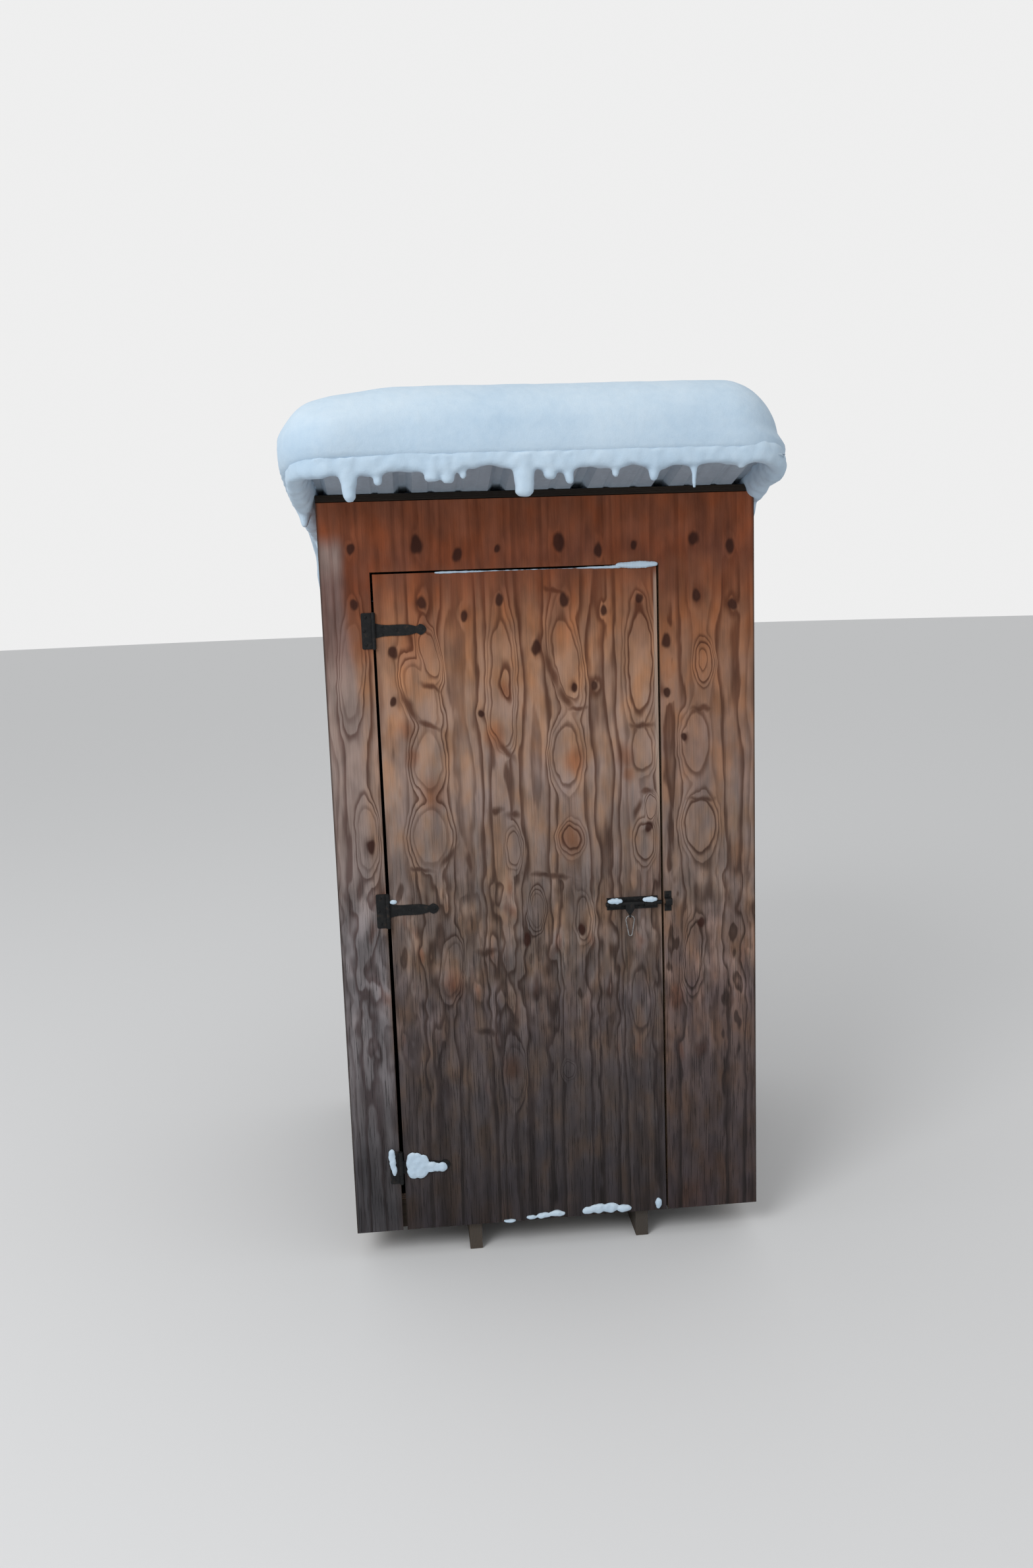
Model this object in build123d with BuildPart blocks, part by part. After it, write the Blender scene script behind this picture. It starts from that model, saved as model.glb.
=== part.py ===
"""Plywood outhouse on two runners, under a ribbed steel roof that carries a slab of snow.

Millimetres.  X runs to the right along the front, Y runs from the door to the back, Z is up.
The origin is on the ground, in the middle of the plan.
"""

import os
from math import asin, cos, degrees, radians, sin, tan

from build123d import *

os.makedirs("parts", exist_ok=True)

# plywood and lumber as they are sold
sheet_width = 1219.0
sheet_t = 12.0
stud_t = 38.0
stud_w = 89.0
board_t = 19.0
board_w = 89.0
deck_t = 18.0
eased_edge = 1.5

# body of the house
front_height = 2134.0
side_depth = 1219.0
runner_inset = 354.5

# doorway, cut out of the front sheet: what is left of the sheet beside and over it
strip_left = 136.5
strip_right = 274.5
strip_over = 190.0
gap_at_hinge_top = 7.0
gap_at_hinge_foot = 13.0
gap_at_latch = 7.0
gap_at_head = 6.0
gap_behind_door = 6.0
batten_inset = 28.0

# roof
roof_slope = 12.5
front_overhang = 240.0
back_overhang = 222.0
metal_overhang = 15.9
metal_t = 0.6
rib_pitch = 228.6
rib_height = 19.0
rib_base = 50.0
rib_crest = 20.0
full_sheet_ribs = 4
rib_from_edge = 53.4
rib_over_lap = 257.2
bead_height = 3.0
bead_base = 22.0
bead_crest = 10.0
bead_offset = 38.0
side_lap = 24.0
lap_flange = 30.0

# snow
snow_depth = 217.0
snow_reach = 62.0
snow_lip = 38.0
snow_corner_r = 165.0
snow_crown_r = 172.0
snow_lip_r = 28.0
snow_rest = 0.3
snow_side_gap = 0.5

# tee hinges
top_hinge_down = 160.0
middle_hinge_up = 985.0
bottom_hinge_up = 200.0
plate_height = 100.0
plate_reach = 33.0
plate_corner_r = 4.0
hinge_t = 2.5
knuckle_r = 6.0
knuckle_gap = 0.5
pin_r = 3.0
pin_clearance = 0.06
pin_proud = 2.0
strap_root = 46.0
strap_neck_at = 50.0
strap_neck = 30.0
strap_swell_at = 78.0
strap_swell = 31.0
strap_waist_at = 118.0
strap_waist = 18.0
spade_at = 128.0
spade_width = 30.0
strap_length = 146.0

# slide bolt
bolt_height = 968.0
bolt_from_edge = 12.0
bolt_length = 150.0
bolt_throw = 25.0
bolt_plate_h = 36.0
bolt_plate_t = 2.0
rod_r = 6.0
rod_overrun = 4.0
rod_end_inset = 1.0
rod_end_chamfer = 1.0
guide_length = 34.0
guide_inset = 6.0
guide_t = 2.5
guide_clearance = 0.5
guide_corner_r = 4.0
guide_height = 34.0
keeper_offset = 2.0
keeper_length = 20.0
keeper_height = 59.0
keeper_clearance = 2.0

# handle of the bolt, with an eye at its lower end
lug_spare_travel = 6.0
lug_width = 26.0
lug_shoulder = 16.0
lug_foot = 9.0
lug_drop = 30.0
lug_t = 5.0
eye_drop = 35.0
eye_r = 7.0
eye_hole_r = 2.3
eye_t = 4.0

# wire loop that hangs in the eye
wire_r = 1.5
loop_crown_r = 12.5
loop_toe_r = 5.0
loop_length = 60.0
loop_rest = 0.35

# levels and faces that follow from the sizes
sheet_foot = stud_w
deck_top = sheet_foot + stud_w + deck_t
wall_top = sheet_foot + front_height
front_y = -(side_depth + 2 * sheet_t) / 2
front_in = front_y + sheet_t
back_in = front_in + side_depth
back_y = back_in + sheet_t
side_out = sheet_width / 2
side_in = side_out - sheet_t
platform_front = front_in + gap_behind_door
door_left = strip_left - side_out
door_right = side_out - strip_right
leaf_right = door_right - gap_at_latch
opening_top = wall_top - strip_over
door_top = opening_top - gap_at_head
hinge_heights = {
    "top": opening_top - top_hinge_down,
    "middle": sheet_foot + middle_hinge_up,
    "bottom": sheet_foot + bottom_hinge_up,
}
slope = radians(roof_slope)
rafter_drop = stud_w / cos(slope)


def roof_z(y):
    """Height of the rafters' upper edge over a point of the plan."""
    return wall_top - tan(slope) * (y - front_in)


plate_top_front = roof_z(front_in) - rafter_drop
plate_top_back = roof_z(back_in - stud_w) - rafter_drop

# the plane that the purlins lie on: its Y runs down the slope, its Z stands square to it
roof_plane = Plane(
    origin=(0, front_in, wall_top), x_dir=(1, 0, 0), z_dir=(0, sin(slope), cos(slope))
)
roof_normal = Axis(roof_plane.origin, roof_plane.z_dir)
eave_front = -(sheet_t + front_overhang) / cos(slope)
eave_back = (side_depth + sheet_t + back_overhang) / cos(slope)


def finish(block, node):
    """Name a finished piece and write it."""
    block.part.label = node
    export_step(block.part, f"parts/{node}.step")


def slab(x, y, z, mode=Mode.ADD):
    """A straight piece between two planes on each axis."""
    with BuildSketch(Plane.XY.offset(z[0])) as plan:
        with Locations(((x[0] + x[1]) / 2, (y[0] + y[1]) / 2)):
            Rectangle(x[1] - x[0], y[1] - y[0])
    extrude(plan.sketch, amount=z[1] - z[0], mode=mode)


def sheet(node, x, y, z):
    """A rectangular piece of plywood."""
    with BuildPart() as panel:
        slab(x, y, z)
    finish(panel, node)


def lumber(node, along, *places):
    """One or more like boards in one piece of the record, their long edges eased."""
    with BuildPart() as boards:
        for x, y, z in places:
            slab(x, y, z)
        chamfer(boards.edges().filter_by(along), length=eased_edge)
    finish(boards, node)


def side_profile(node, points, *x_ranges):
    """Pieces cut to an outline seen from the side, between pairs of X planes."""
    with BuildPart() as pieces:
        for low, high in x_ranges:
            with BuildSketch(Plane.YZ.offset(low)):
                with BuildLine():
                    Polyline(*points, close=True)
                make_face()
            extrude(amount=high - low)
    finish(pieces, node)


# runners and floor
platform_depth = (platform_front, back_in)
runner_x = side_out - runner_inset
for node, centre in (("runner_left", -runner_x), ("runner_right", runner_x)):
    lumber(
        node,
        Axis.Y,
        ((centre - stud_t / 2, centre + stud_t / 2), platform_depth, (0, sheet_foot)),
    )

rim_level = (sheet_foot, sheet_foot + stud_w)
lumber(
    "floor_rim_front",
    Axis.X,
    ((-side_in, side_in), (platform_front, platform_front + stud_t), rim_level),
)
lumber(
    "floor_rim_back",
    Axis.X,
    ((-side_in, side_in), (back_in - stud_t, back_in), rim_level),
)
joist_span = (platform_front + stud_t, back_in - stud_t)
joist_places = []
for centre in (-(side_in - stud_t / 2), 0, side_in - stud_t / 2):
    joist_places.append(((centre - stud_t / 2, centre + stud_t / 2), joist_span, rim_level))
lumber("floor_joists", Axis.Y, *joist_places)
sheet("floor_deck", (-side_in, side_in), platform_depth, (deck_top - deck_t, deck_top))

# wall frame
post_front = (front_in, front_in + stud_w)
post_back = (back_in - stud_w, back_in)
sole_level = (deck_top, deck_top + stud_t)
between_posts = (post_front[1], post_back[0])
for hand, sign in (("left", -1), ("right", 1)):
    corner_x = sorted((sign * side_in, sign * (side_in - stud_t)))
    deep_x = sorted((sign * side_in, sign * (side_in - stud_w)))
    lumber(
        f"post_front_{hand}",
        Axis.Z,
        (corner_x, post_front, (deck_top, plate_top_front - stud_t)),
    )
    lumber(
        f"post_back_{hand}",
        Axis.Z,
        (corner_x, post_back, (deck_top, plate_top_back - stud_t)),
    )
    lumber(f"sole_{hand}", Axis.Y, (deep_x, between_posts, sole_level))
    side_profile(
        f"stud_{hand}",
        (
            (-stud_t / 2, sole_level[1]),
            (stud_t / 2, sole_level[1]),
            (stud_t / 2, roof_z(stud_t / 2) - rafter_drop),
            (-stud_t / 2, roof_z(-stud_t / 2) - rafter_drop),
        ),
        deep_x,
    )

lumber("sole_back", Axis.X, ((stud_t - side_in, side_in - stud_t), post_back, sole_level))
lumber(
    "stud_back",
    Axis.Z,
    ((-stud_t / 2, stud_t / 2), post_back, (sole_level[1], plate_top_back - stud_t)),
)
jamb_height = (deck_top, plate_top_front - stud_t)
lumber("jamb_left", Axis.Z, ((door_left - stud_t, door_left), post_front, jamb_height))
lumber("jamb_right", Axis.Z, ((door_right, door_right + stud_t), post_front, jamb_height))
lumber(
    "door_header",
    Axis.X,
    ((door_left, door_right), post_front, (opening_top, opening_top + stud_t)),
)
lumber(
    "top_plate_front",
    Axis.X,
    ((-side_in, side_in), post_front, (plate_top_front - stud_t, plate_top_front)),
)
lumber(
    "top_plate_back",
    Axis.X,
    ((-side_in, side_in), post_back, (plate_top_back - stud_t, plate_top_back)),
)

# rafters, notched to sit level on both top plates
side_profile(
    "rafters",
    (
        (front_in, roof_z(front_in)),
        (back_in, roof_z(back_in)),
        (back_in, plate_top_back),
        (post_back[0], plate_top_back),
        (post_front[1], roof_z(post_front[1]) - rafter_drop),
        (post_front[1], plate_top_front),
        (front_in, plate_top_front),
    ),
    (-side_in, -side_in + stud_t),
    (-stud_t / 2, stud_t / 2),
    (side_in - stud_t, side_in),
)

# plywood skin
front_sheet = (front_y, front_in)
wall_height = (sheet_foot, wall_top)
sheet("front_sheet_left", (-side_out, door_left), front_sheet, wall_height)
sheet("front_sheet_right", (door_right, side_out), front_sheet, wall_height)
sheet("front_sheet_top", (door_left, door_right), front_sheet, (opening_top, wall_top))
side_outline = (
    (front_in, sheet_foot),
    (back_in, sheet_foot),
    (back_in, roof_z(back_in)),
    (front_in, wall_top),
)
side_profile("side_sheet_left", side_outline, (-side_out, -side_in))
side_profile("side_sheet_right", side_outline, (side_in, side_out))
sheet("back_sheet", (-side_out, side_out), (back_in, back_y), (sheet_foot, roof_z(back_y)))

# purlins, laid flat across the rafters
with BuildPart() as purlins:
    first = board_w / 2 - sheet_t / cos(slope)
    last = (side_depth + sheet_t) / cos(slope) - board_w / 2
    with BuildSketch(roof_plane):
        with Locations((0, first), (0, (first + last) / 2), (0, last)):
            Rectangle(sheet_width, board_w)
    extrude(amount=board_t)
    chamfer(purlins.edges().filter_by(Axis.X), length=eased_edge)
finish(purlins, "purlins")


def ribbed(rib_centres, left, right):
    """Underside of a roof sheet, with its high ribs and the two low beads right of each one."""
    waves = []
    for rib in rib_centres:
        waves.append((rib, rib_base, rib_crest, rib_height))
        for bead in (rib + rib_pitch / 2 - bead_offset, rib + rib_pitch / 2 + bead_offset):
            waves.append((bead, bead_base, bead_crest, bead_height))
    points = [(left, 0)]
    for centre, base, crest, height in sorted(waves):
        if left < centre - base / 2 and centre + base / 2 < right:
            points.append((centre - base / 2, 0))
            points.append((centre - crest / 2, height))
            points.append((centre + crest / 2, height))
            points.append((centre + base / 2, 0))
    points.append((right, 0))
    return points


def roof_sheet(node, outline, lift):
    """A ribbed sheet as long as the roof, its outline drawn at the back eave."""
    eave = roof_plane.from_local_coords((0, eave_back, board_t + lift))
    with BuildPart() as metal:
        with BuildSketch(Plane(origin=eave, x_dir=(1, 0, 0), z_dir=-roof_plane.y_dir)):
            with BuildLine():
                under = Polyline(*outline)
                offset(under, amount=metal_t, side=Side.LEFT, kind=Kind.INTERSECTION)
            make_face()
        extrude(amount=eave_back - eave_front)
    finish(metal, node)


# one full sheet from the right edge, and one cut to what is left, lapped over it
metal_half_width = side_out + metal_overhang
first_rib = metal_half_width - rib_from_edge
full_ribs = [first_rib - rib_pitch * count for count in range(full_sheet_ribs)]
full_left = full_ribs[-1] - rib_base / 2 - lap_flange
cut_right = full_left + side_lap
cut_ribs = [full_ribs[-1] - rib_over_lap]
while cut_ribs[-1] - rib_pitch - rib_base / 2 > -metal_half_width:
    cut_ribs.append(cut_ribs[-1] - rib_pitch)
roof_sheet("roof_sheet_right", ribbed(full_ribs, full_left, metal_half_width), 0)
roof_sheet("roof_sheet_left", ribbed(cut_ribs, -metal_half_width, cut_right), metal_t)

# snow, a pillow that sits on the ribs and hangs a lip round all four eaves
snow_seat = board_t + 2 * metal_t + rib_height + snow_rest
snow_foot = board_t - snow_lip
snow_middle = (eave_front + eave_back) / 2
snow_run = eave_back - eave_front
with BuildPart() as snow:
    with BuildSketch(roof_plane.offset(snow_foot)):
        with Locations((0, snow_middle)):
            RectangleRounded(
                2 * (metal_half_width + snow_reach), snow_run + 2 * snow_reach, snow_corner_r
            )
    extrude(amount=snow_seat + snow_depth - snow_foot)
    fillet(snow.faces().sort_by(roof_normal)[-1].edges(), radius=snow_crown_r)
    fillet(snow.faces().sort_by(roof_normal)[0].edges(), radius=snow_lip_r)
    with BuildSketch(roof_plane.offset(snow_foot)):
        with Locations((0, snow_middle)):
            Rectangle(2 * (metal_half_width + snow_side_gap), snow_run + 2 * snow_side_gap)
    extrude(amount=snow_seat - snow_foot, mode=Mode.SUBTRACT)
finish(snow, "roof_snow")

# door, with its hinge edge trimmed on a slight taper, and three battens behind it
with BuildPart() as door:
    with BuildSketch(Plane.XZ.offset(-front_in)):
        with BuildLine():
            Polyline(
                (door_left + gap_at_hinge_foot, sheet_foot),
                (leaf_right, sheet_foot),
                (leaf_right, door_top),
                (door_left + gap_at_hinge_top, door_top),
                close=True,
            )
        make_face()
    extrude(amount=sheet_t)
finish(door, "door_panel")

batten_x = (door_left + batten_inset, door_right - batten_inset)
batten_places = []
for middle in hinge_heights.values():
    batten_places.append(
        (
            batten_x,
            (front_in, front_in + board_t),
            (middle - board_w / 2, middle + board_w / 2),
        )
    )
lumber("door_battens", Axis.X, *batten_places)

# tee hinges: the wall plate holds the pin and two outer knuckles, the strap has the middle one
pin_x = door_left + gap_at_hinge_top / 2
pin_y = front_y - knuckle_r


def round_bar(radius, low, high, mode=Mode.ADD):
    """A cylinder about the hinge pin's axis, between two heights."""
    with BuildSketch(Plane.XY.offset(low)) as disc:
        with Locations((pin_x, pin_y)):
            Circle(radius)
    extrude(disc.sketch, amount=high - low, mode=mode)


for place, middle in hinge_heights.items():
    wall_face = Plane(origin=(pin_x, front_y, middle), x_dir=(1, 0, 0), z_dir=(0, -1, 0))
    plate_z = (middle - plate_height / 2, middle + plate_height / 2)
    strap_z = (middle - strap_root / 2, middle + strap_root / 2)

    with BuildPart() as plate:
        with BuildSketch(wall_face) as outline:
            with Locations((-plate_reach / 2, 0)):
                Rectangle(plate_reach, plate_height)
            fillet(outline.vertices().group_by(Axis.X)[0], radius=plate_corner_r)
        extrude(amount=hinge_t)
        round_bar(knuckle_r, *plate_z)
        slab(
            (pin_x - knuckle_r, pin_x + knuckle_r),
            (pin_y - knuckle_r, front_y),
            (strap_z[0] - knuckle_gap, strap_z[1] + knuckle_gap),
            mode=Mode.SUBTRACT,
        )
        round_bar(pin_r, plate_z[0] - pin_proud, plate_z[1] + pin_proud)
    finish(plate, f"hinge_plate_{place}")

    with BuildPart() as strap:
        with BuildSketch(wall_face):
            with BuildLine():
                root = Line((0, 0), (0, strap_root / 2))
                blade = Spline(
                    root @ 1,
                    (strap_neck_at, strap_neck / 2),
                    (strap_swell_at, strap_swell / 2),
                    (strap_waist_at, strap_waist / 2),
                )
                barb = Line(blade @ 1, (spade_at, spade_width / 2))
                TangentArc(barb @ 1, (strap_length, 0), tangent=(1, 0))
                mirror(about=Plane.XZ)
            make_face()
        extrude(amount=hinge_t)
        round_bar(knuckle_r, *strap_z)
        round_bar(pin_r + pin_clearance, *strap_z, mode=Mode.SUBTRACT)
    finish(strap, f"hinge_strap_{place}")

# slide bolt: a plate with two guides on the door, a rod with a handle, a keeper on the wall
rod_z = sheet_foot + bolt_height
plate_face = front_y - bolt_plate_t
channel_half = rod_r + guide_clearance
rod_y = plate_face - channel_half
bolt_right = leaf_right - bolt_from_edge
bolt_left = bolt_right - bolt_length
right_guide = bolt_right - guide_inset - guide_length


def bracket(left, length, face, reach, half, height):
    """A squared staple over the rod, on a face: its channel is reach deep and 2 half high."""
    with BuildSketch(Plane.YZ.offset(left)) as outside:
        with Locations((face - (reach + guide_t) / 2, rod_z)):
            Rectangle(reach + guide_t, 2 * (half + guide_t))
        fillet(outside.vertices().group_by(Axis.X)[0], radius=guide_corner_r + guide_t)
        with Locations((face - guide_t / 2, rod_z)):
            Rectangle(guide_t, height)
    extrude(outside.sketch, amount=length)
    with BuildSketch(Plane.YZ.offset(left)) as channel:
        with Locations((face - reach / 2, rod_z)):
            Rectangle(reach, 2 * half)
        fillet(channel.vertices().group_by(Axis.X)[0], radius=guide_corner_r)
    extrude(channel.sketch, amount=length, mode=Mode.SUBTRACT)


with BuildPart() as base:
    slab(
        (bolt_left, bolt_right),
        (plate_face, front_y),
        (rod_z - bolt_plate_h / 2, rod_z + bolt_plate_h / 2),
    )
    for left in (bolt_left + guide_inset, right_guide):
        bracket(left, guide_length, plate_face, 2 * channel_half, channel_half, guide_height)
finish(base, "bolt_base")

keeper_left = door_right + keeper_offset
keeper_half = rod_r + keeper_clearance
with BuildPart() as keeper:
    bracket(
        keeper_left,
        keeper_length,
        front_y,
        front_y - rod_y + keeper_half,
        keeper_half,
        keeper_height,
    )
finish(keeper, "bolt_keeper")

rod_left = bolt_left - rod_overrun
rod_right = leaf_right - rod_end_inset
lug_x = right_guide - lug_spare_travel - bolt_throw - lug_width / 2
lug_front = rod_y - rod_r
eye_y = lug_front + lug_t / 2
eye_z = rod_z - eye_drop
with BuildPart() as rod:
    with BuildSketch(Plane.YZ.offset(rod_left)):
        with Locations((rod_y, rod_z)):
            Circle(rod_r)
    extrude(amount=rod_right - rod_left)
    chamfer(rod.faces().filter_by(Axis.X).edges(), length=rod_end_chamfer)
    with BuildSketch(Plane(origin=(lug_x, lug_front, rod_z), x_dir=(1, 0, 0), z_dir=(0, 1, 0))):
        with BuildLine():
            side = Polyline(
                (0, 0),
                (-lug_width / 2, 0),
                (-lug_width / 2, lug_shoulder),
                (-lug_foot / 2, lug_drop),
                (0, lug_drop),
            )
            mirror(about=Plane.YZ)
        make_face()
    extrude(amount=lug_t)
    with BuildSketch(Plane.YZ.offset(lug_x - eye_t / 2)):
        with Locations((eye_y, eye_z)):
            Circle(eye_r)
    extrude(amount=eye_t)
    with BuildSketch(Plane.YZ.offset(lug_x - lug_foot)):
        with Locations((eye_y, eye_z)):
            Circle(eye_hole_r)
    extrude(amount=2 * lug_foot, mode=Mode.SUBTRACT)
finish(rod, "slide_bolt")

# the loop is drawn from its crown, where the wire rests on the foot of the eye
wire_z = eye_z - (eye_hole_r - wire_r - loop_rest)
crown_z = -loop_crown_r
toe_z = loop_toe_r - loop_length
taper = degrees(asin((loop_crown_r - loop_toe_r) / (crown_z - toe_z)))
with BuildPart() as loop:
    with BuildLine(Plane(origin=(lug_x, eye_y, wire_z), x_dir=(1, 0, 0), z_dir=(0, -1, 0))):
        crown = CenterArc((0, crown_z), loop_crown_r, -taper, 180 + 2 * taper)
        toe = CenterArc((0, toe_z), loop_toe_r, 180 + taper, 180 - 2 * taper)
        Line(crown @ 1, toe @ 0)
        Line(toe @ 1, crown @ 0)
    with BuildSketch(Plane(origin=crown @ 0, z_dir=crown % 0)):
        Circle(wire_r)
    sweep()
finish(loop, "pull_loop")
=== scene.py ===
"""Plywood outhouse on two runners, under a ribbed steel roof that carries a slab of snow.

Metres, with finishes worked out in millimetres.  X runs to the right along the front,
Y runs from the door to the back, Z is up, and the origin is on the ground.
"""

import math
import random

import bmesh
import bpy
from mathutils import Matrix, Vector, noise


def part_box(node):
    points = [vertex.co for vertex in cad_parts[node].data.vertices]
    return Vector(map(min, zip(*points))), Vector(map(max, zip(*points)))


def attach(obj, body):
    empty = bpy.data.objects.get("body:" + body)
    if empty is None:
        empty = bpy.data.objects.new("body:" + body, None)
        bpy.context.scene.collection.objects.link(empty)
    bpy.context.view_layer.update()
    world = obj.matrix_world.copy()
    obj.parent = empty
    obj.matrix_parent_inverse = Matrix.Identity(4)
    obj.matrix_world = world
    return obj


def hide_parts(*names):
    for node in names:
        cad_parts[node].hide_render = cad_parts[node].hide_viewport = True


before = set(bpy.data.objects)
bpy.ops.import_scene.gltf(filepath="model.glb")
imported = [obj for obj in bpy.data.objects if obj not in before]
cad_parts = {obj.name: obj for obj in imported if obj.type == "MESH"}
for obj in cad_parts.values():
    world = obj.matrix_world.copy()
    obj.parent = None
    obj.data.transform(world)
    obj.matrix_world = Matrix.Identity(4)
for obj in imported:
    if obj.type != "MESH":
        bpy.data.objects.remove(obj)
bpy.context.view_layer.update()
scene = bpy.context.scene


# The studio: a pale matt floor under an even pale sky, with one wide soft lamp on the left.
# The camera stands a little left of the door at eye level, tipped down to take in the front.
class Tone:
    """A shader socket in arithmetic: each operation adds one Math node to its finish."""

    def __init__(self, finish, socket):
        self.finish = finish
        self.socket = socket

    def math(self, operation, *others):
        terms = dict(enumerate((self, *others)))
        return self.finish.node("Math", {"operation": operation}, terms)

    def reflected(self, operation, other):
        return self.finish.node("Math", {"operation": operation}, {0: other, 1: self})

    def __add__(self, other):
        return self.math("ADD", other)

    __radd__ = __add__

    def __sub__(self, other):
        return self.math("SUBTRACT", other)

    def __rsub__(self, other):
        return self.reflected("SUBTRACT", other)

    def __mul__(self, other):
        return self.math("MULTIPLY", other)

    __rmul__ = __mul__

    def __truediv__(self, other):
        return self.math("DIVIDE", other)

    def __rtruediv__(self, other):
        return self.reflected("DIVIDE", other)

    def __abs__(self):
        return self.math("ABSOLUTE")

    def other(self, output):
        """Another output of the same node."""
        return Tone(self.finish, self.socket.node.outputs[output])

    def toward(self, target, share):
        """This value drawn towards a target by a share from 0 to 1."""
        return self.finish.node("Mix", {"data_type": "FLOAT"}, {0: share, 2: self, 3: target})

    def step(self, low, high):
        """A smooth step from 0 at low to 1 at high, where low may be the larger."""
        return self.finish.node(
            "MapRange",
            {"interpolation_type": "SMOOTHSTEP"},
            {"Value": self, "From Min": low, "From Max": high},
        )


class Finish:
    """A material or a sky, whose nodes are added one at a time."""

    def __init__(self, name, kind=bpy.data.materials):
        self.owner = kind.new(name)
        self.owner.use_nodes = True
        self.tree = self.owner.node_tree
        self.tree.nodes.clear()

    def node(self, kind, settings=None, sockets=None, output=0):
        """Add a node of a kind: its settings are made first, then its sockets are filled."""
        made = self.tree.nodes.new("ShaderNode" + kind)
        for setting, value in (settings or {}).items():
            if setting == "stops":
                ramp = made.color_ramp
                while len(ramp.elements) < len(value):
                    ramp.elements.new(1.0)
                for element, (position, colour) in zip(ramp.elements, value):
                    element.position = position
                    element.color = (*colour, 1)
            else:
                setattr(made, setting, value)
        for place, value in (sockets or {}).items():
            if isinstance(value, Tone):
                self.tree.links.new(value.socket, made.inputs[place])
            else:
                made.inputs[place].default_value = value
        return Tone(self, made.outputs[output]) if made.outputs else None

    def place(self):
        """Where a point lies in the frame, as three lengths in millimetres."""
        where = self.node("TexCoord", output="Object")
        scaled = self.node("VectorMath", {"operation": "SCALE"}, {0: where, "Scale": 1000})
        x = self.node("SeparateXYZ", {}, {0: scaled})
        return x, x.other(1), x.other(2)

    def vector(self, x, y, z):
        return self.node("CombineXYZ", {}, {0: x, 1: y, 2: z})

    def noise(self, vector, size, detail=2.0, roughness=0.5):
        """Smooth noise about 0.5, in lumps of about this size."""
        sockets = {"Vector": vector, "Scale": 1 / size, "Detail": detail, "Roughness": roughness}
        return self.node("TexNoise", {}, sockets)

    def ramp(self, value, *stops):
        return self.node("ValToRGB", {"stops": stops}, {0: value})

    def mix(self, share, first, second, blend="MIX"):
        """Two colours mixed, where share is how much of the second there is."""
        pair = []
        for colour in (first, second):
            pair.append(colour if isinstance(colour, Tone) else (*colour, 1))
        settings = {"data_type": "RGBA", "blend_type": blend}
        return self.node("Mix", settings, {0: share, 6: pair[0], 7: pair[1]}, output=2)

    def bump(self, height, distance, strength=1.0):
        """A relief whose height of one stands this many metres proud."""
        return self.node("Bump", {}, {"Height": height, "Distance": distance, "Strength": strength})

    def surface(self, **sockets):
        """Close the finish with a plain shader whose sockets are named with underscores."""
        named = {name.replace("_", " "): value for name, value in sockets.items()}
        shader = self.node("BsdfPrincipled", {}, named)
        self.node("OutputMaterial", {}, {"Surface": shader})
        return self.owner


eye = Vector((-0.393, -4.0485, 1.968))
heading, dip, tilt = math.radians(-5.11), math.radians(-8.97), math.radians(1.97)
camera = bpy.data.objects.new("camera", bpy.data.cameras.new("camera"))
camera.data.lens = 28
camera.data.sensor_width = 36
camera.data.clip_end = 200
camera.matrix_world = (
    Matrix.Translation(eye)
    @ Matrix.Rotation(heading, 4, "Z")
    @ Matrix.Rotation(dip, 4, "X")
    @ Matrix.Rotation(tilt, 4, "Y")
    @ Matrix.Rotation(math.radians(90), 4, "X")
)
scene.collection.objects.link(camera)
scene.camera = camera
scene.view_settings.view_transform = "Standard"

lamp = bpy.data.objects.new("soft_lamp", bpy.data.lights.new("soft_lamp", "AREA"))
lamp.data.shape = "DISK"
lamp.data.size = 4.0
lamp.data.energy = 270
lamp.location = (-4.2, -5.5, 5.6)
lamp.rotation_euler = (Vector((0, 0, 1.2)) - lamp.location).to_track_quat("-Z", "Y").to_euler()
scene.collection.objects.link(lamp)

# the sky lights the model at one level and is seen, directly or in a gloss, at another
sky_light = 0.62
sky_seen = 0.86
sky = Finish("pale_sky", bpy.data.worlds)
camera_ray = sky.node("LightPath", output="Is Camera Ray")
seen = camera_ray.math("MAXIMUM", camera_ray.other("Is Glossy Ray"))
seen = seen.math("MAXIMUM", camera_ray.other("Is Transmission Ray"))
strength = sky.node("MapRange", {}, {"Value": seen, "To Min": sky_light, "To Max": sky_seen})
glow = sky.node("Background", {}, {"Color": (1, 1, 1, 1), "Strength": strength})
sky.node("OutputWorld", {}, {"Surface": glow})
scene.world = sky.owner

floor_finish = Finish("studio_floor").surface(Base_Color=(0.78, 0.79, 0.80, 1), Roughness=0.9)
floor_reach = 60
floor_drop = 0.0005
bpy.ops.mesh.primitive_circle_add(
    vertices=96, radius=floor_reach, fill_type="NGON", location=(0, 0, -floor_drop)
)
studio_floor = bpy.context.object
studio_floor.name = "studio_floor"
studio_floor.data.materials.append(floor_finish)


# Runners, floor joists, wall frame, rafters and purlins: sawn softwood boards, planed and
# eased at the long edges, nailed together, with straight grain along each board and rings
# on the sawn ends.  The runners lie on the ground and carry the rest.
def dress(material, *nodes):
    """Give nodes of the model a finish in place of their plain one."""
    for node in nodes:
        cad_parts[node].data.materials.clear()
        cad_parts[node].data.materials.append(material)


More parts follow.
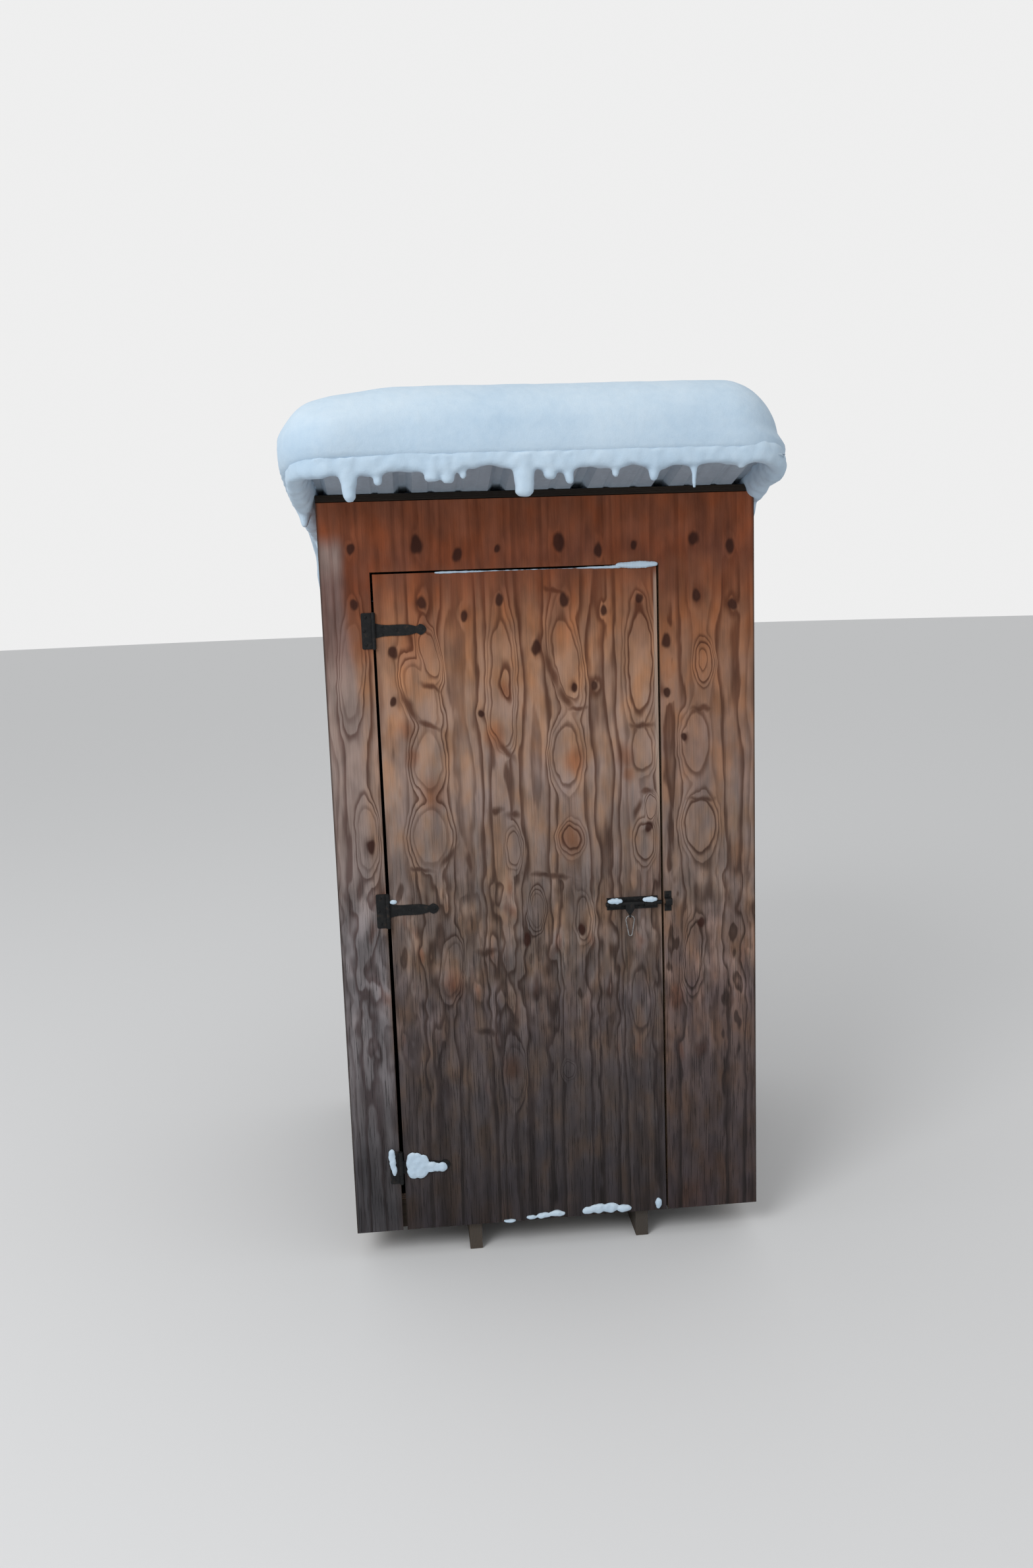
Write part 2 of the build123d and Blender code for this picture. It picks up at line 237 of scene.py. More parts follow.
def lumber_finish(name, along, fresh, grey, greying):
    """Softwood with its grain along one axis, 0 for X, 1 for Y and 2 for Z."""
    wood = Finish(name)
    places = wood.place()
    length = places[along]
    flat, deep = [places[axis] for axis in range(3) if axis != along]
    drift = wood.noise(wood.vector(flat * 0.3, deep * 0.3, length * 0.06), 30, 2)
    beside_pith, below_pith, ring_width = flat + 31, deep - 47, 4.6
    heart = (beside_pith * beside_pith + below_pith * below_pith).math("SQRT")
    rings = (heart / ring_width + drift * 9).math("FRACT")
    late = rings.step(0.45, 0.93) * rings.step(1.0, 0.96)
    fibre = wood.noise(wood.vector(flat, deep, length * 0.03), 2.2, 3)
    patches = wood.noise(wood.vector(flat, deep, length * 0.25), 160, 3)
    knots = wood.node(
        "TexVoronoi",
        {"voronoi_dimensions": "3D"},
        {"Vector": wood.vector(flat * 0.55, deep * 0.55, length * 0.33), "Scale": 1 / 95},
    )
    knot = knots.step(0.15, 0.07)
    base = wood.mix(late * 0.75, fresh, [part * 0.52 for part in fresh])
    aged = wood.mix(late * 0.6, grey, [part * 0.6 for part in grey])
    worn = (patches - 0.5 + greying).step(0.1, 0.9)
    colour = wood.mix(worn, base, aged)
    colour = wood.mix(fibre.step(0.35, 0.75) * 0.35, colour, [part * 0.7 for part in grey])
    colour = wood.mix(knot * 0.85, colour, (0.075, 0.032, 0.016))
    relief = fibre * 0.5 - late * 0.6 - knot * 0.4
    return wood.surface(
        Base_Color=colour,
        Roughness=0.78 + fibre * 0.12,
        Specular_IOR_Level=0.2,
        Normal=wood.bump(relief, 0.0006),
    )


yellow_pine = (0.42, 0.265, 0.135)
old_grey = (0.155, 0.138, 0.118)
boards_across = (
    "floor_rim_back", "sole_back", "door_header", "top_plate_front", "top_plate_back",
)
boards_back = ("floor_joists", "sole_left", "sole_right", "rafters")
boards_upright = (
    "post_front_left", "post_front_right", "post_back_left", "post_back_right",
    "stud_left", "stud_right", "stud_back", "jamb_left", "jamb_right",
)
for along, nodes in enumerate((boards_across, boards_back, boards_upright)):
    name = f"frame_lumber_{'xyz'[along]}"
    dress(lumber_finish(name, along, yellow_pine, old_grey, 0.35), *nodes)

# the front rim and the runners have darkened in the wet; the purlins' near black is painted shade
rim_worn = lumber_finish("rim_lumber", 0, (0.075, 0.050, 0.032), (0.040, 0.034, 0.030), 0.6)
dress(rim_worn, "floor_rim_front")
ground_worn = lumber_finish("runner_lumber", 1, (0.13, 0.085, 0.05), (0.07, 0.062, 0.055), 0.7)
dress(ground_worn, "runner_left", "runner_right")
# painted shade: the purlins are coloured near black for the shadow under the eave
eave_painted_shade = lumber_finish("purlin_painted_shade_lumber", 0, (0.045, 0.030, 0.020), (0.022, 0.018, 0.015), 0.55)
dress(eave_painted_shade, "purlins")


# The plywood skin and floor: fir veneer peeled round the log, so the same knots and ovals
# come back at each turn of the log, about 390 mm apart.  The sheets are nailed to the frame.
# Their faces have gone from red at the sheltered top through tan to wet grey at the foot.
log_girth = 394
log_taper = 1.127e-7
ridge_lead = 0.165
rings_a_turn = 0.9
knot_squash = 0.68


def log_turns(across):
    """How many turns of the tapering log the knife made on its way to a place."""
    return across / log_girth + across * across * log_taper


def plywood(
    name, across, up, thick, faces, start=0.0,
    pockets=(), knots=(), strokes=(), stains=(), front=False,
):
    """Rotary-cut plywood: the axes that run across, up and through it, and its two faces."""
    wood = Finish(name)
    places = wood.place()
    x, z, depth = places[across] + start, places[up], places[thick]

    flat = wood.vector(x, 0, z)
    smear = wood.noise(wood.vector(x, 0, z * 0.5), 30, 1).other("Color")
    sway = (18, 0, 26)
    centred = [-part / 2 for part in sway]
    warp = {"operation": "MULTIPLY_ADD"}
    wavy = wood.node("VectorMath", warp, {0: smear, 1: sway, 2: centred})
    wavy = wood.node("VectorMath", {"operation": "ADD"}, {0: flat, 1: wavy})

    def away(centre, level, half, tall, lean=0.0):
        """How far a point is from the middle of a leaning oval, whose rim is at 1."""
        sockets = {"Location": (centre, 0, level), "Scale": (half, 1, tall)}
        sockets["Rotation"] = (0, math.radians(lean), 0)
        inside = wood.node("Mapping", {"vector_type": "TEXTURE"}, {"Vector": wavy, **sockets})
        return wood.node("VectorMath", {"operation": "LENGTH"}, {0: inside}, output="Value")

    # the rings of the log, as the knife met them on its way round
    figure_foot, figure_top, log_radius = 1130, 1930, 63
    figured = z.math("MAXIMUM", figure_foot).math("MINIMUM", figure_top)
    height = figured + (z - figured) * 0.25
    turn = log_turns(x)
    angle = turn * (2 * math.pi)
    log = wood.vector(
        angle.math("COSINE") * log_radius, angle.math("SINE") * log_radius, height * 0.30
    )
    swell = wood.noise(log, 105, 1.5, 0.45)
    wobble = wood.noise(wood.vector(x, 7, height * 0.14), 24, 2)
    ridges = (angle * 2 - 4 * math.pi * ridge_lead).math("COSINE")
    rings = ridges * 1.15 + swell * 2.9 + turn * rings_a_turn + wobble + 1.4
    wild = wood.noise(wood.vector(x, 0, z * 0.42), 46, 1.5)
    low = z.step(1190, 1110)
    rings = rings + (wild - 0.5) * low * (z.step(330, 800) * 2.4 + 0.5)
    for centre, level, half, tall, lean, ring in pockets:
        share = away(centre, level, half, tall, lean).step(1.5, 0.6)
        rings = rings.toward(ring, share)
    streak = wood.noise(wood.vector(x, 3, z * 0.05), 17, 3)
    knotty = None
    squat = wood.node("VectorMath", {"operation": "MULTIPLY"}, {0: wavy, 1: (1, 0, knot_squash)})

    def reach_from(centre, level):
        """How far a point is from a place, where less of the height counts."""
        sockets = {0: squat, 1: (centre, 0, level * knot_squash)}
        return wood.node("VectorMath", {"operation": "DISTANCE"}, sockets, output="Value")

    for centre, level, half in knots:
        reach = reach_from(centre, level)
        rings = rings + reach.step(half * 3, 0) * 0.55
        core = (reach + (streak - 0.5) * 5).step(half * 1.25, half * 0.65)
        knotty = core if knotty is None else knotty.math("MAXIMUM", core)
    phase = rings.math("FRACT")
    each = wood.node("TexWhiteNoise", {"noise_dimensions": "1D"}, {"W": rings.math("FLOOR")})
    late = phase.step(0.30, 0.80) * phase.step(1.0, 0.84) * (0.45 + each * 0.55)
    late = late * (1 - z.step(1940, 2060) * 0.55)
    for centre, level, half, tall, lean in strokes:
        mark = away(centre, level, half + 2, tall, lean).step(1.5, 0.3)
        late = late.math("MAXIMUM", mark * 0.95)
    tinted = None
    for centre, level, half in stains:
        reach = reach_from(centre, level)
        tint = reach.step(half * 1.5, half * 0.2)
        tinted = tint if tinted is None else tinted.math("MAXIMUM", tint)

    # the colour of the pale and of the dark wood, by height
    fibre = wood.noise(wood.vector(x, depth * 0.2, z * 0.022), 2.6, 3, 0.6)
    blotch = wood.noise(wood.vector(x, 5, z * 0.42), 48, 2)
    broad = wood.noise(wood.vector(x, 0, z * 0.6), 260, 2)
    ramp_height = 2300
    level = (z + (broad - 0.5) * 150 + (streak - 0.5) * 90) / ramp_height
    early = wood.ramp(
        level,
        (0.050, (0.040, 0.032, 0.033)),
        (0.150, (0.056, 0.046, 0.046)),
        (0.240, (0.082, 0.064, 0.060)),
        (0.330, (0.118, 0.088, 0.082)),
        (0.400, (0.150, 0.108, 0.090)),
        (0.480, (0.190, 0.135, 0.110)),
        (0.545, (0.230, 0.158, 0.126)),
        (0.615, (0.300, 0.205, 0.163)),
        (0.700, (0.330, 0.205, 0.145)),
        (0.770, (0.330, 0.178, 0.108)),
        (0.820, (0.285, 0.130, 0.070)),
        (0.860, (0.225, 0.082, 0.041)),
        (0.895, (0.175, 0.056, 0.029)),
        (0.930, (0.250, 0.078, 0.037)),
    )
    dark = wood.ramp(
        level,
        (0.050, (0.015, 0.012, 0.012)),
        (0.240, (0.028, 0.020, 0.020)),
        (0.400, (0.042, 0.024, 0.018)),
        (0.545, (0.062, 0.031, 0.022)),
        (0.700, (0.085, 0.034, 0.020)),
        (0.820, (0.085, 0.026, 0.012)),
        (0.910, (0.105, 0.028, 0.012)),
    )
    greyed = streak.step(0.45, 0.70) * z.step(1900, 1500) * z.step(500, 900) * 0.35
    early = wood.mix(greyed, early, (0.135, 0.122, 0.112))
    warm = wood.noise(wood.vector(x, 9, z * 0.5), 60, 2)
    hue = wood.ramp(warm, (0.36, (0.90, 0.96, 1.06)), (0.50, (1, 1, 1)), (0.66, (1.10, 0.95, 0.78)))
    early = wood.mix(0.9, early, hue, "MULTIPLY")
    if front:
        # the left edge stands in the light and has bleached; the right strip stays redder.
        # The gaps beside the door lie about 470 mm left and 330 mm right of the middle.
        beside = x + 549 - z.step(1950, 1650) * 34 - z.step(1250, 950) * 36 + (broad - 0.5) * 50
        silver = beside.step(18, -16) * z.step(2150, 2085)
        pale = wood.mix(z.step(1350, 950), (0.262, 0.202, 0.182), (0.165, 0.152, 0.160))
        pale = wood.mix(z.step(650, 250), pale, (0.055, 0.053, 0.058))
        early = wood.mix(silver * 0.85, early, pale)
        dark = wood.mix(silver * 0.6, dark, wood.mix(1.0, pale, (0.45, 0.36, 0.36), "MULTIPLY"))
        left = x.step(-468, -476) * z.step(1700, 1850) * z.step(2080, 1990)
        early = wood.mix(left * 0.8, early, (0.62, 0.50, 0.50), "MULTIPLY")
        right = x.step(328, 338)
        right_foot = right * z.step(1100, 950)
        early = wood.mix(right_foot, early, (1.24, 1.12, 1.08), "MULTIPLY")
        right_top = right * z.step(1250, 1500) * z.step(2050, 1950)
        early = wood.mix(right_top * 0.55, early, (0.72, 0.58, 0.52), "MULTIPLY")
    colour = wood.mix(late * 0.92, early, dark)
    shade = 0.80 + blotch.step(0.30, 0.70) * 0.34 + (fibre - 0.5) * 0.55 + (streak - 0.5) * 0.5
    shade = shade + low * z.step(620, 800) * (blotch.step(0.46, 0.72) * 0.45 - 0.06)
    colour = wood.mix(1.0, colour, wood.vector(shade, shade, shade), "MULTIPLY")
    stain = wild.step(0.60, 0.78) * low * z.step(420, 620) + broad.step(0.60, 0.75) * 0.5
    colour = wood.mix(stain * 0.5, colour, (1.15, 0.70, 0.52), "MULTIPLY")
    if tinted is not None:
        colour = wood.mix(tinted * 0.75, colour, (0.80, 0.50, 0.33), "MULTIPLY")
    if knotty is not None:
        colour = wood.mix(knotty * 0.90, colour, (0.030, 0.009, 0.006))
    checks = fibre.step(0.42, 0.35) * z.step(1500, 700)
    colour = wood.mix(checks * 0.5, colour, (0.016, 0.013, 0.012))
    if front:
        # the door's latch edge is rubbed pale, and the wall's outer edges are painted darker
        rub = (x + streak * 4).step(318, 324) * x.step(331, 329)
        rub = rub * z.step(1150, 1500) * z.step(2026, 1980)
        colour = wood.mix(rub * 0.6, colour, (0.40, 0.31, 0.25))
        # the last few millimetres at each outer edge of the wall are painted dark
        colour = wood.mix(abs(x).step(603, 608) * 0.7, colour, (0.030, 0.022, 0.018))

    # the five plies that show on the sheet's edges
    facing = wood.node("TexCoord", output="Normal")
    turned = abs(wood.node("SeparateXYZ", {}, {0: facing}).other(thick))
    first, last = faces
    layer = (depth - first) / (last - first) * 5
    crossed = (layer.math("FLOOR") * 0.5).math("FRACT") * 2
    glue = abs(layer.math("FRACT") - 0.5).step(0.40, 0.49)
    edge = wood.mix(crossed, (0.200, 0.125, 0.078), (0.105, 0.070, 0.048))
    edge = wood.mix(glue * 0.7, edge, (0.035, 0.022, 0.016))
    edge = wood.mix(0.5, edge, early)
    colour = wood.mix(turned.step(0.6, 0.4), colour, edge)

    relief = fibre * 0.8 - checks * 1.3
    return wood.surface(
        Base_Color=colour,
        Roughness=0.76 + fibre * 0.16,
        Specular_IOR_Level=0.18,
        Normal=wood.bump(relief, 0.0009),
    )


def in_mm(node, axis):
    """The two faces of a sheet along one axis, in millimetres."""
    low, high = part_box(node)
    return low[axis] * 1000, high[axis] * 1000


# Pockets and ovals of pale wood in the front veneer, from the outer of a nest to the inner:
# place across and up, half width, half height, degrees that it leans to the right, and the
# ring that fills it.  A ring that ends in .25 is pale and one that ends in .75 is dark.
front_pockets = (
    (-535, 1765, 32, 150, 5, 5.25),
    (-347, 1688, 42, 105, -20, 5.25),
    (-318, 1800, 27, 80, -12, 6.25),
    (-116, 1740, 36, 165, 0, 6.25),
    (-108, 1712, 17, 62, 0, 6.84),
    (-108, 1708, 8, 36, 0, 7.25),
    (66, 1775, 40, 130, -9, 6.25),
    (278, 1760, 40, 160, 0, 7.25),
    (461, 1752, 28, 62, 0, 7.25),
    (460, 1755, 12, 30, 0, 8.25),
    (-335, 1500, 46, 84, 0, 5.25),
    (-338, 1284, 56, 86, 0, 5.25),
    (-122, 1602, 32, 76, -8, 6.25),
    (-100, 1238, 22, 60, 0, 6.25),
    (60, 1500, 44, 96, 0, 6.25),
    (66, 1258, 36, 46, 0, 6.84),
    (68, 1262, 20, 27, 0, 7.25),
    (282, 1505, 34, 62, 0, 6.25),
    (302, 1342, 18, 38, 0, 7.25),
    (283, 1236, 32, 60, 0, 7.25),
    (432, 1520, 42, 95, 0, 6.25),
    (446, 1278, 52, 86, 0, 7.25),
    (-516, 1290, 30, 105, 0, 5.25),
    (-290, 890, 30, 95, 8, 5.25),
    (-40, 1050, 24, 60, 5, 5.25),
    (96, 1020, 26, 70, 0, 6.25),
    (420, 880, 30, 110, 4, 7.25),
    (262, 760, 32, 100, 0, 6.25),
    (40, 556, 18, 26, 0, 6.25),
    (-118, 560, 28, 95, 0, 5.25),
)
# knots: place across and up, and half width
front_knots = (
    (-340, 2103, 17),
    (55, 2098, 17),
    (435, 2098, 16),
    (-230, 2073, 14),
    (165, 2073, 14),
    (540, 2073, 14),
    (-118, 2087, 10),
    (265, 2085, 10),
    (-520, 2095, 11),
    (-333, 1943, 14),
    (65, 1940, 14),
    (441, 1940, 14),
    (-218, 1906, 11),
    (175, 1905, 10),
    (545, 1910, 11),
    (-118, 1944, 13),
    (277, 1936, 10),
    (-520, 1945, 11),
    (-420, 1808, 13),
    (-18, 1810, 14),
    (356, 1815, 14),
    (-425, 1672, 10),
    (90, 1690, 10),
    (145, 1693, 10),
    (355, 1672, 10),
    (-178, 1630, 9),
    (-508, 1265, 14),
    (292, 1282, 13),
    (-72, 962, 13),
    (88, 985, 13),
    (448, 985, 11),
    (400, 1540, 9),
)
# dark strokes of late wood: place, half width and half height, and degrees of lean
front_strokes = (
    (24, 1745, 9, 66, -18),
    (60, 1664, 9, 38, -30),
    (94, 1634, 26, 8, 0),
    (-381, 1660, 9, 54, -27),
    (-330, 1603, 38, 9, 26),
    (-318, 1712, 30, 8, 30),
    (455, 1618, 30, 9, 3),
    (280, 1578, 34, 10, 0),
    (452, 1357, 40, 8, 0),
    (-372, 1192, 34, 8, 10),
    (-288, 1222, 8, 42, 38),
    (-113, 1522, 9, 40, -38),
    (-150, 1352, 20, 11, 0),
    (-98, 1334, 20, 12, 0),
    (290, 1388, 18, 10, 0),
    (262, 1336, 7, 34, 24),
    (4, 1150, 70, 9, 10),
    (-228, 1205, 8, 44, 0),
    (-190, 935, 28, 12, 0),
    (-195, 690, 32, 12, 10),
    (36, 1966, 30, 9, 20),
)
# orange-brown stains round old pitch: place across and up, and half width
front_stains = (
    (-392, 1592, 22),
    (-382, 1512, 20),
    (-325, 1405, 36),
    (-142, 1560, 30),
    (-108, 1690, 18),
    (84, 1480, 30),
    (228, 1490, 26),
    (236, 1440, 18),
    (66, 1256, 40),
    (-285, 840, 34),
    (-130, 575, 30),
    (370, 760, 26),
)


def on_sheet(marks, node):
    """The marks that reach onto a sheet."""
    left, right = in_mm(node, 0)
    foot, top = in_mm(node, 2)
    found = []
    for mark in marks:
        centre, level, half = mark[:3]
        tall = mark[3] if len(mark) > 3 else half * 1.5
        reach = max(half, tall) if len(mark) > 4 and abs(mark[4]) > 20 else half
        across = left - reach < centre < right + reach
        if across and foot - max(tall, reach) < level < top + max(tall, reach):
            found.append(mark)
    return found


front_faces = in_mm("front_sheet_left", 1)
for node in ("front_sheet_left", "front_sheet_right", "front_sheet_top", "door_panel"):
    tables = (front_pockets, front_knots, front_strokes, front_stains)
    figure = [on_sheet(marks, node) for marks in tables]
    dress(plywood(node + "_plywood", 0, 2, 1, front_faces, 0.0, *figure, front=True), node)


def peeled(start, reach, seed):
    """Pockets and knots of a whole sheet, which come back at each turn of the log."""
    draw = random.Random(seed)
    pockets = []
    knots = []
    centre = start - reach + draw.uniform(20, 60)
    while centre < start + reach:
        turn = log_turns(centre)
        ridge = (round((turn - ridge_lead) * 2) / 2 + ridge_lead - turn) * log_girth
        fill = math.floor(6.0 + rings_a_turn * turn) + 0.25
        level = draw.uniform(450, 900)
        half, tall = draw.uniform(20, 32), draw.uniform(70, 120)
        pockets.append((centre + ridge, level, half, tall, 0, fill))
        level += draw.uniform(420, 560)
        lean = draw.uniform(-12, 12)
        half, tall = draw.uniform(34, 52), draw.uniform(80, 150)
        pockets.append((centre + ridge, level, half, tall, lean, fill))
        low, high = draw.uniform(500, 1400), draw.uniform(1500, 1750)
        for level in (low, high, 1915 + draw.uniform(-30, 30)):
            knots.append((centre + draw.uniform(-70, 70), level, draw.uniform(9, 16)))
        centre += draw.uniform(150, 190)
    return pockets, knots


figure = peeled(1310, 600, 1)
dress(plywood("back_plywood", 0, 2, 1, in_mm("back_sheet", 1), 1310, *figure), "back_sheet")
for side, start in (("left", 2740), ("right", 4170)):
    node = f"side_sheet_{side}"
    figure = peeled(start, 600, start)
    dress(plywood(f"{side}_side_plywood", 1, 2, 0, in_mm(node, 0), start, *figure), node)
dress(plywood("deck_plywood", 0, 1, 2, in_mm("floor_deck", 2), 5230), "floor_deck")
battens = lumber_finish("batten_lumber", 0, (0.30, 0.19, 0.11), old_grey, 0.45)
dress(battens, "door_battens")


# The roof: two lengths of roll-formed steel with a zinc coat, lapped once and screwed down
# through the ribs.  The coat has dulled, with runs down the slope.
zinc = Finish("roof_steel")
x, y, z = zinc.place()
spot = zinc.vector(x, y, z)
grains = zinc.node("TexVoronoi", {"feature": "F1"}, {"Vector": spot, "Scale": 1 / 9})
spangle = zinc.node("SeparateColor", {}, {0: grains.other("Color")})
runs = zinc.noise(zinc.vector(x, y * 0.03, z * 0.03), 14, 3)
dull = zinc.noise(spot, 220, 3)
coat = zinc.ramp(
    spangle * 0.20 + runs * 0.35 + dull * 0.45,
    (0.25, (0.290, 0.355, 0.430)),
    (0.55, (0.345, 0.420, 0.500)),
    (0.80, (0.410, 0.490, 0.570)),
)
dress(
    zinc.surface(
        Base_Color=coat,
        Metallic=0.15,
        Roughness=0.50 + spangle * 0.12 + dull * 0.12,
        Normal=zinc.bump(spangle, 0.00005),
    ),
    "roof_sheet_left",
    "roof_sheet_right",
)


# The roof snow: one settled slab that lies on the ribs of the steel and has crept out over
# all four eaves.  Thaw and frost have rounded it, so it has no edges.  Its steep faces are
# painted a little darker, a painted shade for light that falls from above.
snow = Finish("snow")
x, y, z = snow.place()
spot = snow.vector(x, y, z)
drift = snow.noise(spot, 190, 3)
grain = snow.noise(spot, 3.2, 3, 0.65)
lumps = snow.noise(spot, 22, 3)
snow_colour = snow.ramp(
    drift * 0.7 + lumps * 0.3,
    (0.30, (0.500, 0.640, 0.770)),
    (0.52, (0.565, 0.695, 0.810)),
    (0.75, (0.625, 0.740, 0.835)),
)
facing = snow.node("SeparateXYZ", {}, {0: snow.node("TexCoord", output="Normal")}).other(2)
# painted shade: faces that turn away from the sky are made darker and greyer
snow_colour = snow.mix(facing.step(0.75, 0.15), snow_colour, (0.86, 0.89, 0.92), "MULTIPLY")
snow_finish = snow.surface(
    Base_Color=snow_colour,
    Roughness=0.82,
    Normal=snow.bump(grain * 0.35 + lumps, 0.0022, 0.7),
)

wall_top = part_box("front_sheet_left")[1].z
front_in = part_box("front_sheet_left")[1].y
back_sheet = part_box("back_sheet")[1]
slope = math.atan((wall_top - back_sheet.z) / (back_sheet.y - front_in))
off_slope = Vector((0, math.sin(slope), math.cos(slope)))
roof_origin = Vector((0, front_in, wall_top))
snow_low, snow_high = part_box("roof_snow")


def over_rafters(point):
    """How far a point stands off the plane of the rafters' tops."""
    return (point - roof_origin).dot(off_slope)


def lump(shape, centre, wide, deep, tall):
    """A rounded clod, with these half sizes across, in depth and upright."""
    made = bmesh.ops.create_icosphere(shape, subdivisions=2, radius=1.0)
    for vertex in made["verts"]:
        corner = vertex.co
        vertex.co = centre + Vector((corner.x * wide, corner.y * deep, corner.z * tall))


def drip(shape, x, y, foot, rise, root, tip, lean):
    """A tapered finger of snow that hangs from rise above its foot, rounded at the tip."""
    rounds = 16
    levels = 10
    deepest = 0.022
    loops = []
    for step in range(levels + 1):
        share = step / levels
        radius = tip + (root - tip) * share**1.25
        if step == 0:
            radius = tip * 0.6
        centre = Vector((x + lean * (1 - share), y, foot + rise * share))
        loop = []
        for turn in range(rounds):
            angle = 2 * math.pi * turn / rounds
            offset = Vector((math.cos(angle) * radius, math.sin(angle) * min(radius, deepest), 0))
            loop.append(shape.verts.new(centre + offset))
        loops.append(loop)
    for low, high in zip(loops, loops[1:]):
        for turn in range(rounds):
            after = (turn + 1) % rounds
            shape.faces.new((low[turn], low[after], high[after], high[turn]))
    shape.faces.new(list(reversed(loops[0])))
    shape.faces.new(loops[-1])


def melted(name, shape, voxel, rounds):
    """Fuse overlapping closed shapes into one soft skin."""
    rough = bpy.data.meshes.new(name + "_rough")
    shape.to_mesh(rough)
    shape.free()
    holder = bpy.data.objects.new(name + "_rough", rough)
    scene.collection.objects.link(holder)
    remesh = holder.modifiers.new("fuse", "REMESH")
    remesh.mode = "VOXEL"
    remesh.voxel_size = voxel
    relax = holder.modifiers.new("relax", "SMOOTH")
    relax.factor = 0.5
    relax.iterations = rounds
    bpy.context.view_layer.update()
    fused = holder.evaluated_get(bpy.context.evaluated_depsgraph_get())
    skin = bpy.data.meshes.new_from_object(fused)
    bpy.data.objects.remove(holder)
    skin.name = name
    for polygon in skin.polygons:
        polygon.use_smooth = True
    return skin


def reshape(skin, moved):
    """Move every point of a skin to where a rule on its place and its normal sends it."""
    normals = [vertex.normal.copy() for vertex in skin.vertices]
    places = []
    for vertex, normal in zip(skin.vertices, normals):
        places.extend(moved(vertex.co.copy(), normal))
    skin.vertices.foreach_set("co", places)
    skin.update()


def snow_piece(name, skin, body):
    """Put a snow mesh in the scene, riding on a body."""
    skin.materials.clear()
    skin.materials.append(snow_finish)
    piece = bpy.data.objects.new(name, skin)
    scene.collection.objects.link(piece)
    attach(piece, body)
    return piece


def crumpled_snow(name, body, shape, voxel, rough, size, seed):
    """Fuse clods and drips into one piece, and crumple its skin."""
    skin = melted(name, shape, voxel, 2)
    aside = Vector((seed, 0, 0))
    reshape(skin, lambda point, normal: point + normal * noise.noise(point / size + aside) * rough)
    return snow_piece(name, skin, body)


def easing(value, low, high):
    share = min(max((value - low) / (high - low), 0.0), 1.0)
    return share * share * (3 - 2 * share)


def along(place, line):
    """A value read off a line of places and values, eased from each to the next."""
    for (start, low), (end, high) in zip(line, line[1:]):
        if place <= end:
            return low + (high - low) * easing(place, start, end)
    return line[-1][1]


left_waist, right_waist = 0.034, 0.012


def waist(x, y):
    """How far the snow has drawn back from the side eaves, which is most on the left."""
    reach = left_waist if x < 0 else right_waist
    return reach * easing(abs(y - 0.02), 0.78, 0.10)


slab = bmesh.new()
slab.from_mesh(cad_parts["roof_snow"].data)
skin = melted("roof_snow_slab", slab, 0.0105, 4)

# how deep the skin dips, and in how many waves a metre
skin_dips = ((0.005, 2.1), (0.004, 8.5), (0.0014, 34))
# the left end stands out in a bulge and has a sunken crown; the right end has drawn back
left_bulge = 0.019
left_sunk = 0.017
right_drawn, right_drawn_above = 0.028, 0.020
# the lip is lifted by this share of its depth under a level
lip_level, lip_lift = 0.059, 0.15
kept_inside = 0.0015


def settled(point, normal):
    """The slab's skin as it has sunk: softly uneven, rounded off at its ends and its lip."""
    height = over_rafters(point)
    side = -1 if point.x < 0 else 1
    seated = easing(normal.z, -0.3, -0.8) * easing(abs(point.x), 0.64, 0.61)
    seated *= easing(abs(point.y), 0.88, 0.85)
    inward = 0.0
    for dip, waves in skin_dips:
        inward += dip * (0.5 + 0.5 * noise.noise(point * waves))
    inward += 0.008 * easing(height, 0.060, 0.005) + 0.016 * easing(height, 0.026, 0.000)
    moved = point - normal * inward * (1 - seated)
    around = math.hypot(max(abs(point.x) - 0.55, 0), max(abs(point.y) - 0.78, 0))
    bulge = easing(abs(height - 0.075), 0.125, 0.0) * easing(around, 0.0, 0.10)
    bulge *= easing(-point.x, 0.35, 0.62)
    moved += Vector((normal.x, normal.y, 0)) * left_bulge * bulge
    moved += off_slope * (max(lip_level - height, 0.0) * lip_lift)
    if side < 0:
        sunk = easing(abs(point.x), 0.38, 0.54) * easing(abs(point.x), 0.66, 0.56)
        moved -= off_slope * (left_sunk * sunk * easing(height, 0.10, 0.19))
    else:
        drawn = right_drawn + right_drawn_above * easing(height, 0.050, 0.095)
        moved.x -= drawn * easing(point.x, 0.08, 0.66)
    moved.x -= side * waist(point.x, point.y) * easing(abs(point.x), 0.45, 0.62)
    moved.x = min(max(moved.x, snow_low.x + kept_inside), snow_high.x - kept_inside)
    moved.y = min(max(moved.y, snow_low.y + kept_inside), snow_high.y - kept_inside)
    return moved


reshape(skin, settled)
roof_snow = snow_piece("roof_snow_slab", skin, "cabin")
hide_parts("roof_snow")


# The fringe: a roll of thawed and refrozen snow that hangs from the slab's lip round all four
# eaves, ragged at its lower edge and drawn out into drips.  It clings to the rim of the steel.
def eave_line(left, right, front, back, radius, spacing):
    """Points round the eaves with rounded corners, each with the way that faces outward."""
    line = []
    turns = (
        (left + radius, front + radius, 180),
        (right - radius, front + radius, 270),
        (right - radius, back - radius, 0),
        (left + radius, back - radius, 90),
    )
    arc_steps = round(radius * math.pi / 2 / spacing)
    for number, (centre_x, centre_y, first) in enumerate(turns):
        for step in range(arc_steps + 1):
            angle = math.radians(first + 90 * step / arc_steps)
            outward = Vector((math.cos(angle), math.sin(angle), 0))
            line.append((Vector((centre_x, centre_y, 0)) + outward * radius, outward))
        next_x, next_y, _ = turns[(number + 1) % 4]
        start = line[-1][0]
        end = Vector((next_x, next_y, 0)) + outward * radius
        steps = round((end - start).length / spacing)
        for step in range(1, steps):
            line.append((start.lerp(end, step / steps), outward))
    return line


